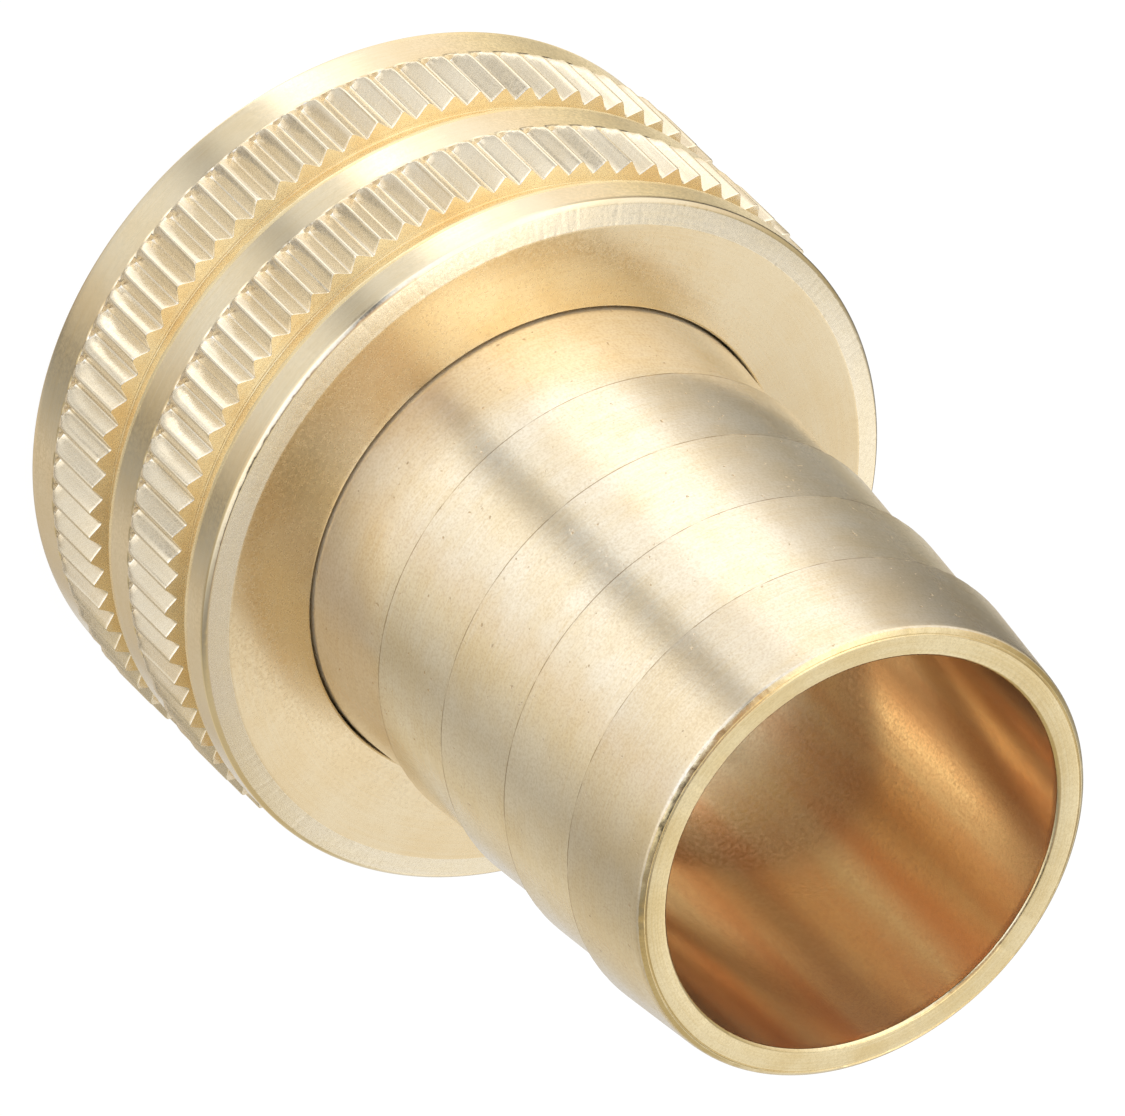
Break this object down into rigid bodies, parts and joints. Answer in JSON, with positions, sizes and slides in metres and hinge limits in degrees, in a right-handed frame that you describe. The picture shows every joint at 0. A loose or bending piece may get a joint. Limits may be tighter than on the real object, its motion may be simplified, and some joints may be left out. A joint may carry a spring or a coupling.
{
  "type": "swivel hose coupling",
  "caption": "Brass hose coupling: barbed hose stem in a knurled swivel nut with a female garden hose thread and a rubber washer.",
  "frame": {"origin": "centre of the nut's open, threaded end face; the coupling stands on that face", "axes": "+Z along the common axis, from the threaded end towards the mouth of the hose stem; X and Y are equivalent"},
  "size_m": [0.032, 0.032, 0.0417],
  "materials": {
    "stem_brass": "pale gold, fine satin from turning, lightly pitted",
    "nut_brass": "pale gold satin, bright turned lands, deeper gold in the grooves",
    "washer_rubber": "matt tan moulded rubber"
  },
  "bodies": {
    "stem": {"hose_stem": "stem_brass"},
    "washer": {"hose_washer": "washer_rubber"},
    "nut": {"swivel_nut": "nut_brass"}
  },
  "joints": [
    {"name": "nut_swivel", "type": "hinge", "parent": "stem", "child": "washer", "pos_m": [0, 0, 0], "axis": [0, 0, 1], "continuous": true},
    {"name": "nut_play", "type": "slide", "parent": "washer", "child": "nut", "axis": [0, 0, 1], "range_m": [0, 0.0015]}
  ]
}
